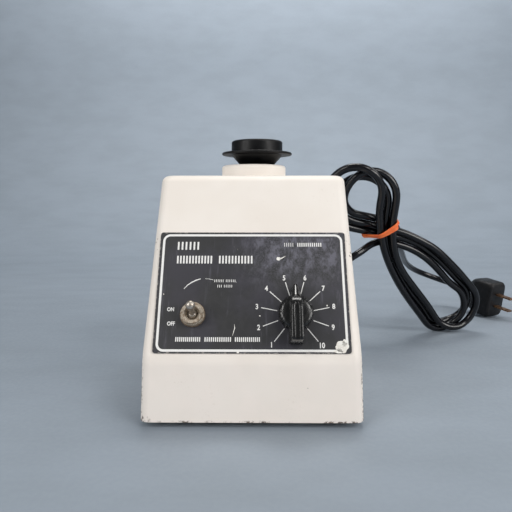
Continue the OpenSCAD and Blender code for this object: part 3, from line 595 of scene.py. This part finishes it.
# Worked edges are never sharp: these catch the light
EDGES = {"toggle_nut": 0.2, "label_plate": 0.1, "plug_blades": 0.35}
for node_name, width in EDGES.items():
    bevel = nodes[node_name].modifiers.new("edges", "BEVEL")
    bevel.width = width * MM
    bevel.segments = 3
    bevel.limit_method = "ANGLE"
    bevel.angle_limit = math.radians(35)
    bevel.harden_normals = True


# ------------------------------------------------------------------ cord, tie and plug pieces

cord = place(tube_object("mains_cord", lead_line, CORD_D / 2), "housing", "cord_jacket")

# The plug is a moulded block with softened edges and a ribbed, tapered tail
PLUG_AROUND = 48
TAIL_END, RIB_STEP, RIBS = -49.5, 2.6, 6


def plug_ring(z, half_x, half_y, power):
    """A rounded-square ring across the plug."""
    a = np.linspace(0, 2 * math.pi, PLUG_AROUND, endpoint=False)
    x = half_x * np.sign(np.cos(a)) * np.abs(np.cos(a)) ** (2 / power)
    y = half_y * np.sign(np.sin(a)) * np.abs(np.sin(a)) ** (2 / power)
    return np.stack([x, y, np.full(PLUG_AROUND, z)], axis=1)


tail = []
for rib in range(RIBS):
    z = TAIL_END + RIB_STEP * rib
    thick = 4.6 + 0.3 * rib
    tail += [(z, thick, thick, 2), (z + 0.3, thick + 0.6, thick + 0.6, 2),
             (z + 1.4, thick + 0.7, thick + 0.7, 2), (z + 1.7, thick, thick, 2)]
block = [(-33.4, 6.8, 6.2, 2.2), (-32, 10.2, 7.6, 2.8), (-29.5, 14, 9.4, 3.4), (-26, 17.2, 11.2, 4),
         (-21.5, 18.6, 12.2, 5), (-20.9, 18.9, 12.4, 5), (-12, 18.9, 12.4, 5.5), (-3.4, 18.9, 12.4, 6),
         (-2.4, 18.6, 12.2, 6), (-0.7, 17.6, 11.2, 6), (-0.2, 17.1, 10.7, 6), (0, 16.6, 10.2, 6),
         (-0.05, 8, 5, 3)]
points, faces = loft([plug_ring(*ring) for ring in tail + block])
plug = place(mesh_object("plug_moulding", moved(points, plug_frame), faces), "housing",
             "plug_rubber")
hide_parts("plug_body")


# The tie is a flat rubber band round the strands: it follows the hull of what it holds
def hull(points):
    """The convex outline of points in a plane, anticlockwise."""
    ordered = sorted(map(tuple, points))

    def half(sequence):
        out = []
        for p in sequence:
            while len(out) > 1 and ((out[-1][0] - out[-2][0]) * (p[1] - out[-2][1])
                                    - (out[-1][1] - out[-2][1]) * (p[0] - out[-2][0])) <= 0:
                out.pop()
            out.append(p)
        return out[:-1]

    return np.array(half(ordered) + half(reversed(ordered)))


REACH_ACROSS, REACH_OUT = 16, 13  # strands farther from the tie's middle are not in it


def band_round(name, tilt, shift, width, thick, clearance):
    """A closed band of that width, tight round the strands that it crosses near the middle of the tie."""
    along = np.array((math.cos(TIE_TURN + tilt), math.sin(TIE_TURN + tilt), 0))
    across = np.array((-along[1], along[0], 0))
    out = np.array((0, 0, 1.0))
    centre = np.array((*TIE_AT, 0)) + shift * along
    local = (hank_line - centre) @ np.stack([along, across, out], axis=1)
    near = local[(np.abs(local) < (width, REACH_ACROSS, REACH_OUT)).all(axis=1)]
    turn = np.linspace(0, 2 * math.pi, 24, endpoint=False)
    rim = np.stack([np.cos(turn), np.sin(turn)], axis=1) * (CORD_D / 2 + clearance)
    outline = hull((near[:, None, 1:] + rim[None]).reshape(-1, 2))
    loop = evenly(np.pad(np.vstack([outline, outline[:1]]), ((0, 0), (0, 1))), 0.8)[:-1, :2]
    for _ in range(6):
        loop = (np.roll(loop, 1, 0) + 2 * loop + np.roll(loop, -1, 0)) / 4
    normal = np.roll(loop, -1, 0) - np.roll(loop, 1, 0)
    normal = np.stack([normal[:, 1], -normal[:, 0]], axis=1)
    normal /= np.linalg.norm(normal, axis=1)[:, None]
    sway = 0.25 * np.sin(np.linspace(0, 6 * math.pi, len(loop), endpoint=False))
    corners = [(-0.5, 0.12), (-0.38, 0), (0.38, 0), (0.5, 0.12), (0.5, 0.88), (0.38, 1), (-0.38, 1),
               (-0.5, 0.88)]
    rings = []
    for side, lift in corners:
        flat = loop + normal * (lift * thick + 0.15)
        rings.append(centre + np.outer(side * width + sway, along) + np.outer(flat[:, 0], across)
                     + np.outer(flat[:, 1], out))
    count, sides = len(loop), len(corners)
    points = np.stack(rings, axis=1).reshape(-1, 3)
    faces = [(i * sides + k, i * sides + (k + 1) % sides, (i + 1) % count * sides + (k + 1) % sides,
              (i + 1) % count * sides + k) for i in range(count) for k in range(sides)]
    return mesh_object(name, moved(points, hank_frame), faces)


tie = place(band_round("tie_band", 0, 0.4, 3.2, 1.0, 0.0), "housing", "tie_rubber")
tie_wrap = place(band_round("tie_second_wrap", math.radians(8), -1.4, 2.6, 1.0, 0.9), "housing",
                 "tie_rubber")
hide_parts("cord_tie")
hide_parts("cord_start", "cord_hank", "cord_lead")


# ------------------------------------------------------------------ coil springs at the guide posts, fixed to the housing

POSTS = [(x, y) for x in (-37, 37) for y in (-31, 31)]  # from the motor's axis
SPRING_R, SPRING_WIRE = 5.2, 0.7  # radius of the coil and of its wire
SPRING_TURNS = 6
WIRE_AROUND = 8
spring_low, spring_high = (corner.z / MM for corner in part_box("press_springs"))
motor_y = sum(corner.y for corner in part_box("motor_shaft")) / 2 / MM
rise = spring_high - spring_low - 2 * SPRING_WIRE
closed = 2 * SPRING_WIRE + 0.05


def spring_ring(turn, x, y):
    """A ring round the wire that many turns up. The first and last turns are closed."""
    z, ahead = np.interp((turn, turn + 0.01), (0, 1, SPRING_TURNS - 1, SPRING_TURNS),
                         (0, closed, rise - closed, rise))
    a = 2 * math.pi * turn
    outward = np.array((math.cos(a), math.sin(a), 0))
    along = np.array((-math.sin(a), math.cos(a), (ahead - z) / (0.02 * math.pi * SPRING_R)))
    upward = np.cross(outward, along / np.linalg.norm(along))
    b = np.linspace(0, 2 * math.pi, WIRE_AROUND, endpoint=False)[:, None]
    centre = np.array((x, y, spring_low + SPRING_WIRE + z)) + SPRING_R * outward
    return centre + SPRING_WIRE * (np.cos(b) * outward + np.sin(b) * upward)


turns = np.linspace(0, SPRING_TURNS, 20 * SPRING_TURNS + 1)
wires = [[spring_ring(turn, x, y + motor_y) for turn in turns] for x, y in POSTS]
springs = place(mesh_object("coil_springs", *loft(*wires)), "housing", "spring_steel")
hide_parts("press_springs")
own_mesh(springs)


# ------------------------------------------------------------------ leads inside, one to the moving motor

LEADS = {
    "mains_leads_inside": (2.2, [(30, 73.9, 22), (30, 71.4, 20.8), (29.5, 66, 17), (27, 54, 13.2),
                                 (25, 36, 11.5), (24, 10, 11.5), (24, -12, 12.5), (25, -24, 16.5),
                                 (25, -30, 17.5)]),
    "toggle_lead": (1.2, [(22, -34, 24), (14, -32, 32), (-6, -27, 38), (-24, -24, 43), (-33, -27, 45.5)]),
    "speed_control_lead": (1.2, [(24.4, -60, 44), (24.2, -57, 36), (23.5, -54, 26), (23.3, -53.3, 18),
                                 (23, -53, 14)]),
    "motor_lead": (1.2, [(-22, -36, 14), (-21.6, -35, 19), (-20, -31, 25), (-14, -26, 32), (-6, -19, 38.4),
                         (-3, -11, 38.4)]),
}


def swept(line, radius, around=10):
    """Points and faces of a wire of that radius along a line."""
    heading = np.gradient(line, axis=0)
    heading /= np.linalg.norm(heading, axis=1)[:, None]
    out = np.cross(heading[0], (1, 0.3, 0))
    a = np.linspace(0, 2 * math.pi, around, endpoint=False)[:, None]
    rings = []
    for point, along in zip(line, heading):
        out = out - np.dot(out, along) * along
        out /= np.linalg.norm(out)
        rings.append(point + radius * (np.cos(a) * out + np.sin(a) * np.cross(along, out)))
    return loft(rings)


leads = {name: mesh_object(name, *swept(evenly(catmull_rom(route, steps=8), step=1.0), radius))
         for name, (radius, route) in LEADS.items()}
moving = leads.pop("motor_lead")
for lead in leads.values():
    place(lead, "housing", "insulation")
scene.collection.objects.link(moving)
moving.data.materials.append(LOOKS["insulation"].material)
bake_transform(moving)
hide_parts("internal_leads")


# ------------------------------------------------------------------ the printed face

class Print:
    """Thin flat shapes on the label's face, gathered into one piece. Places are x and the way up it."""

    def __init__(self, lift=0.0, thick=0.05):
        self.low, self.high = LABEL_TOP + lift + 0.005, LABEL_TOP + lift + thick
        self.points, self.faces = [], []

    def shape(self, outline):
        """A filled outline, anticlockwise."""
        start, count = len(self.points), len(outline)
        self.points += [(x, y, self.high) for x, y in outline] + [(x, y, self.low) for x, y in outline]
        self.faces.append(tuple(range(start, start + count)))
        self.faces.append(tuple(range(start + 2 * count - 1, start + count - 1, -1)))
        for k in range(count):
            n = (k + 1) % count
            self.faces.append((start + count + k, start + count + n, start + n, start + k))

    def stroke(self, places, widths):
        """A line through places, as one strip with a width at each."""
        places = np.array(places, float)
        heading = np.gradient(places, axis=0)
        heading /= np.linalg.norm(heading, axis=1)[:, None]
        side = np.stack([-heading[:, 1], heading[:, 0]], axis=1) * np.array(widths)[:, None] / 2
        self.shape(np.vstack([places - side, (places + side)[::-1]]))

    def frame(self, x, low, high, radius, width):
        """A rounded rectangle drawn as a line."""
        def outline(inset):
            r = radius - inset
            corners = [(x - radius, high - radius, 0), (-x + radius, high - radius, 90),
                       (-x + radius, low + radius, 180), (x - radius, low + radius, 270)]
            return [(cx + r * math.cos(math.radians(a + t)), cy + r * math.sin(math.radians(a + t)))
                    for cx, cy, a in corners for t in range(0, 91, 10)]
        outer, inner = outline(0), outline(width)
        start, count = len(self.points), len(outer)
        for z in (self.high, self.low):
            self.points += [(px, py, z) for px, py in outer] + [(px, py, z) for px, py in inner]
        for k in range(count):
            n = (k + 1) % count
            a, b, c, d = start + k, start + n, start + count + n, start + count + k
            deep = 2 * count
            self.faces += [(a, b, c, d), (d + deep, c + deep, b + deep, a + deep),
                           (a + deep, b + deep, b, a), (d, c, c + deep, d + deep)]

    def blob(self, x, y, radius, seed, stretch=(1, 1), count=26, rough=0.28):
        """A ragged patch."""
        chance = np.random.default_rng(seed)
        a = np.linspace(0, 2 * math.pi, count, endpoint=False)
        r = radius * (1 + rough * np.convolve(np.tile(chance.uniform(-1, 1, count), 3), [0.3, 0.5, 0.3],
                                              "same")[count:2 * count])
        self.shape(np.stack([x + stretch[0] * r * np.cos(a), y + stretch[1] * r * np.sin(a)], axis=1))

    def make(self, name, body, look, matrix=panel_frame):
        place(mesh_object(name, moved(self.points, matrix), self.faces, smooth=False), body, look)


rules = Print()
rules.frame(53.1, 4.4, 74.3, 4.4, 1.35)
rules.make("print_border", "housing", "print_white")

DIAL_STEP, DIAL_FIRST = 31.5, -142  # degrees from upright
NUMBER_R, TEN_R = 22.1, 22.6
dial_angles = [math.radians(DIAL_FIRST + DIAL_STEP * number) for number in range(10)]
ticks = Print()
for angle in dial_angles:
    way = np.array((math.sin(angle), math.cos(angle)))
    ticks.stroke([DIAL + way * 10.4, DIAL + way * 19.6], [0.5, 0.5])
ticks.make("print_dial_ticks", "housing", "print_white")


def lettering(text, x, y, size, stretch=0.82, bold=0.0):
    """A dial number or switch word as raised print."""
    curve = bpy.data.curves.new("lettering", "FONT")
    curve.body = text
    curve.size = size
    curve.align_x = curve.align_y = "CENTER"
    curve.extrude = 0.025
    curve.offset = bold
    curve.resolution_u = 3
    source = bpy.data.objects.new("lettering", curve)
    scene.collection.objects.link(source)
    graph = bpy.context.evaluated_depsgraph_get()
    data = bpy.data.meshes.new_from_object(source.evaluated_get(graph))
    bpy.data.objects.remove(source)
    scaling = Matrix.Diagonal((stretch, 1, 1, 1))
    data.transform(Matrix.Scale(MM, 4) @ panel_frame @ Matrix.Translation((x, y, LABEL_TOP + 0.03)) @ scaling)
    return data


def joined(name, parts):
    """Several meshes as one object."""
    points, faces = [], []
    for data in parts:
        start = len(points)
        points += [v.co / MM for v in data.vertices]
        faces += [tuple(start + v for v in polygon.vertices) for polygon in data.polygons]
    return mesh_object(name, points, faces, smooth=False)


numbers = []
for number, angle in enumerate(dial_angles, 1):
    radius = NUMBER_R if number < 10 else TEN_R
    numbers.append(lettering(str(number), DIAL[0] + radius * math.sin(angle),
                             DIAL[1] + radius * math.cos(angle), 4.2, bold=0.12))
place(joined("print_dial_numbers", numbers), "housing", "print_white")
switch_words = [lettering("ON", -46, 28.2, 3.1, bold=0.1), lettering("OFF", -45.3, 20, 3.1, bold=0.1)]
place(joined("print_on_off", switch_words), "housing", "print_white")


def greeked(sheet, x0, x1, low, high, pitch, heavy):
    """A wordless line: a row of equal upright bars where a maker would print words."""
    for x in np.linspace(x0 + heavy / 2, x1 - heavy / 2, int(round((x1 - x0) / pitch))):
        sheet.stroke([(x, low), (x, high)], [heavy, heavy])


words = Print()
for x0, x1, low, high, pitch, heavy in (
        (-44.2, -38.6, 64.4, 69.4, 1.9, 1.0), (-37.2, -31.6, 64.4, 69.4, 1.9, 1.0),
        (-44.2, -23.6, 55.8, 60.6, 1.75, 0.95), (-19.6, 0.0, 55.8, 60.6, 1.75, 0.95),
        (18.8, 24.0, 66.4, 68.8, 1.05, 0.35), (26.4, 40.6, 66.4, 68.8, 1.15, 0.62),
        (-42.4, -28.6, 10.0, 12.5, 1.1, 0.62), (-26.2, -11.6, 10.0, 12.5, 1.1, 0.62),
        (-9.4, 4.4, 10.0, 12.5, 1.1, 0.62),
        (-21.8, -16.6, 44.4, 46.0, 0.9, 0.35), (-15.2, -9.8, 44.4, 46.0, 0.9, 0.35),
        (-20.0, -17.6, 41.2, 42.8, 0.9, 0.35), (-16.2, -11.6, 41.2, 42.8, 0.9, 0.35)):
    greeked(words, x0, x1, low, high, pitch, heavy)
words.stroke([(-39.2, 40.3), (-37.2, 42.6), (-34.8, 44.3), (-32.2, 45.6), (-29.8, 46.4)],
             [0.25, 0.5, 0.6, 0.65, 0.45])
words.stroke([(-27.2, 46.5), (-24.6, 46.3), (-22.4, 45.7)], [0.15, 0.25, 0.2])
words.make("print_wordless_lines", "housing", "print_white")

wear = Print(0.05, 0.07)
wear.blob(49.6, 7.4, 3.3, 4, (1.0, 0.95))
wear.blob(51.2, 9.6, 1.7, 7, (0.9, 1.1))
wear.blob(47.3, 5.0, 1.5, 9, (1.4, 0.8))
wear.blob(15.3, 58.8, 1.15, 11, (1.15, 0.9))
wear.stroke([(15.8, 58.7), (17.4, 59.2), (19.4, 60.5)], [1.1, 0.6, 0.12])
wear.stroke([(-9.9, 19.9), (-9.6, 17.6), (-10.2, 15.6), (-10.8, 13.4)], [0.1, 0.42, 0.35, 0.12])
wear.blob(4.3, 24.6, 0.36, 13)
wear.blob(42.3, 30.6, 0.4, 14)
wear.blob(-50.6, 37.2, 0.3, 15)
wear.blob(-7.6, 4.1, 0.55, 16, (1.2, 0.9))
wear.make("label_wear", "housing", "chip_white")

# ------------------------------------------------------------------ the knob and its white line

FLUTES = 24
FLUTE_POINTS = 6


def fluted_ring(z, radius, depth):
    """A ring of the knob's base, its flutes that deep."""
    a = np.linspace(0, 2 * math.pi, FLUTES * FLUTE_POINTS, endpoint=False)
    r = radius - depth * np.clip(np.cos(FLUTES * a), 0, 1) ** 2
    return np.stack([r * np.cos(a), r * np.sin(a), np.full(len(a), z)], axis=1)


def grip_section(y, top, half, foot, groove):
    """A cross-section of the grip: drafted flanks, rounded edges, a groove down the middle."""
    side = [(foot, 6), (half + 0.4 * (foot - half), 6 + 0.6 * (top - 6)), (half + 0.05, top - 1.2),
            (half - 0.1, top - 0.5), (half - 0.45, top - 0.1), (half - 0.9, top), (1.35, top),
            (1.1, top - 0.2 * groove), (0.85, top - groove), (0.35, top - 1.05 * groove)]
    return np.array([(x, y, z) for x, z in side] + [(-x, y, z) for x, z in reversed(side)])


def flange_ring(z, inset):
    """The flat tail and pointed nib under the grip."""
    right = [(3.9, -17), (4.1, -16.6), (4.1, -8), (4.1, 6), (3.4, 9.5), (2.5, 11.5), (1.3, 15.6), (0.8, 16.3)]
    outline = right + [(-x, y) for x, y in reversed(right)]
    return np.array([(x * (1 - inset / 4.1), y * (1 - inset / 16), z) for x, y in outline])


base = [fluted_ring(*ring) for ring in (
    (1.4, 9.4, 0.3), (1.6, 9.75, 0.4), (6.6, 9.75, 0.4), (7.3, 9.6, 0.35), (8.0, 9.1, 0.2),
    (8.5, 8.3, 0.05), (8.8, 7.2, 0), (8.9, 5, 0), (8.9, 1, 0))]
grip = [grip_section(*cut) for cut in (
    (-17.0, 13.2, 2.6, 3.8, 0.2), (-16.8, 14.2, 2.9, 4.0, 0.5), (-16.2, 14.8, 3.2, 4.1, 0.8),
    (-15.2, 15, 3.3, 4.1, 0.9), (-4, 15, 3.3, 4.1, 0.9), (0.4, 15, 3.3, 4.1, 0.9),
    (1.8, 14.95, 3.3, 4.1, 0.6), (3.0, 14.75, 3.3, 4.1, 0.2), (4.3, 14.3, 3.25, 4.1, 0.02),
    (5.5, 13.6, 3.2, 4.05, 0.01), (6.6, 12.6, 3.1, 4.0, 0.01), (7.6, 11.4, 2.95, 3.9, 0.01),
    (8.5, 10.0, 2.7, 3.7, 0.01), (9.2, 8.7, 2.4, 3.4, 0.01))]
flange = [flange_ring(*ring) for ring in ((1.8, 0.2), (2.0, 0), (5.4, 0), (5.7, 0.12), (5.8, 0.4))]
points, faces = loft(base, grip, flange)
dial_frame = panel_frame @ Matrix.Translation((*DIAL, 0))
knob = mesh_object("knob_moulding", moved(points, dial_frame), faces)
knob.data.set_sharp_from_angle(angle=math.radians(50))
place(knob, "knob", "knob_gloss")
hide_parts("speed_knob")

pointer = Print()
pointer.low, pointer.high = 5.78, 5.84  # on the flange's nib
pointer.stroke([(0, 10.2), (0, 15.6)], [0.75, 0.45])
pointer.make("knob_pointer_line", "knob", "print_white", dial_frame)

# ------------------------------------------------------------------ floor, backdrop and lights

floor_look = Look("floor")
mottle = floor_look.band(floor_look.noise(90, 4, 0.55, (1, 2.2, 2.2)), 0.3, 0.75)
floor_look.set(Base_Color=floor_look.mix(mottle, tone(143, 153, 164), tone(137, 147, 157)),
               Roughness=floor_look.band(floor_look.noise(3, 3), 0.3, 0.7, 0.6, 0.75))
floor_look.bump(floor_look.noise(1.6, 3), 0.03, 0.4)

FLOOR_FRONT, FLOOR_BACK, SWEEP_R, SWEEP_TOP, HALF_WIDTH = -1500, 600, 500, 1800, 2200
profile = ([(FLOOR_FRONT, 0), (FLOOR_BACK, 0)]
           + [(FLOOR_BACK + SWEEP_R * math.sin(a), SWEEP_R - SWEEP_R * math.cos(a))
              for a in np.linspace(0.1, math.pi / 2, 14)] + [(FLOOR_BACK + SWEEP_R, SWEEP_TOP)])
sweep_points = [(x, y, z) for y, z in profile for x in (-HALF_WIDTH, HALF_WIDTH)]
sweep_faces = [(2 * k, 2 * k + 1, 2 * k + 3, 2 * k + 2) for k in range(len(profile) - 1)]
floor = mesh_object("studio_sweep", sweep_points, sweep_faces)
floor.data.materials.append(floor_look.material)
scene.collection.objects.link(floor)


def softbox(name, place_at, aim, size, power, colour):
    """A soft rectangular light, in metres and watts."""
    data = bpy.data.lights.new(name, "AREA")
    data.shape = "RECTANGLE"
    data.size, data.size_y = size
    data.energy = power
    data.color = colour
    lamp = bpy.data.objects.new(name, data)
    lamp.location = place_at
    lamp.rotation_euler = (Vector(aim) - Vector(place_at)).to_track_quat("-Z", "Y").to_euler()
    scene.collection.objects.link(lamp)


MIXER = (0, 0, 0.06)
softbox("overhead", (0.1, 0.4, 1.25), (0.04, 0, 0.05), (0.5, 0.35), 6, (1, 0.985, 0.96))
softbox("rear_right", (0.95, 0.35, 0.85), (0.12, 0.1, 0.03), (0.35, 0.35), 1.4, (1, 0.99, 0.97))
softbox("key_left", (-0.8, -0.95, 1.2), MIXER, (0.45, 0.35), 4.5, (1, 0.985, 0.965))
softbox("key_right", (0.8, -0.95, 1.2), MIXER, (0.45, 0.35), 5.5, (1, 0.985, 0.965))
softbox("front_left", (-1.15, -0.85, 0.5), MIXER, (0.8, 0.6), 8.5, (1, 0.985, 0.97))
softbox("front_right", (1.2, -0.75, 0.5), MIXER, (0.8, 0.6), 10.5, (1, 0.985, 0.965))
softbox("backdrop", (0.1, 0.78, 1.05), (0.08, 1.1, 0.78), (1.5, 0.2), 6, (1, 1, 1))
world = bpy.data.worlds.new("world")
world.use_nodes = True
background = world.node_tree.nodes["Background"]
background.inputs["Color"].default_value = tone(208, 212, 216)
background.inputs["Strength"].default_value = 0.28
scene.world = world
